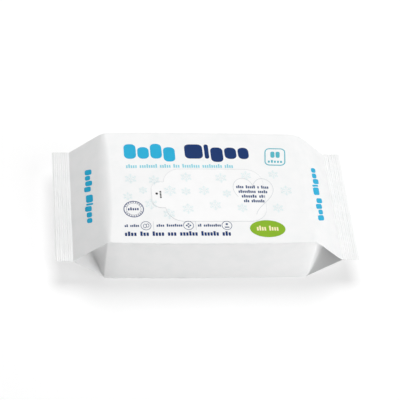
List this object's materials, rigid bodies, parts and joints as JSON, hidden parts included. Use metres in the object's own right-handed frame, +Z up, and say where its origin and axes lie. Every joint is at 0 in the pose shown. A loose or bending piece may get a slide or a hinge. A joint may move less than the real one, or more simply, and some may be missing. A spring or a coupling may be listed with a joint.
{
  "type": "wet wipes pack",
  "caption": "Sealed flow pack of moist wipes: a film-wrapped brick with tucked gussets, crimped end seals and a reseal label.",
  "frame": {"origin": "on the table, under the middle of the pack", "axes": "+X along the pack from one end seal to the other, -Y out of the front long side, +Z up through the label"},
  "size_m": [0.2288, 0.1098, 0.0459],
  "materials": {
    "printed_film": "white laminated film, soft satin gloss",
    "label_film": "white printed label film, satin"
  },
  "bodies": {
    "root": {"film_pack": "printed_film", "resealable_label": "label_film"}
  },
  "joints": []
}
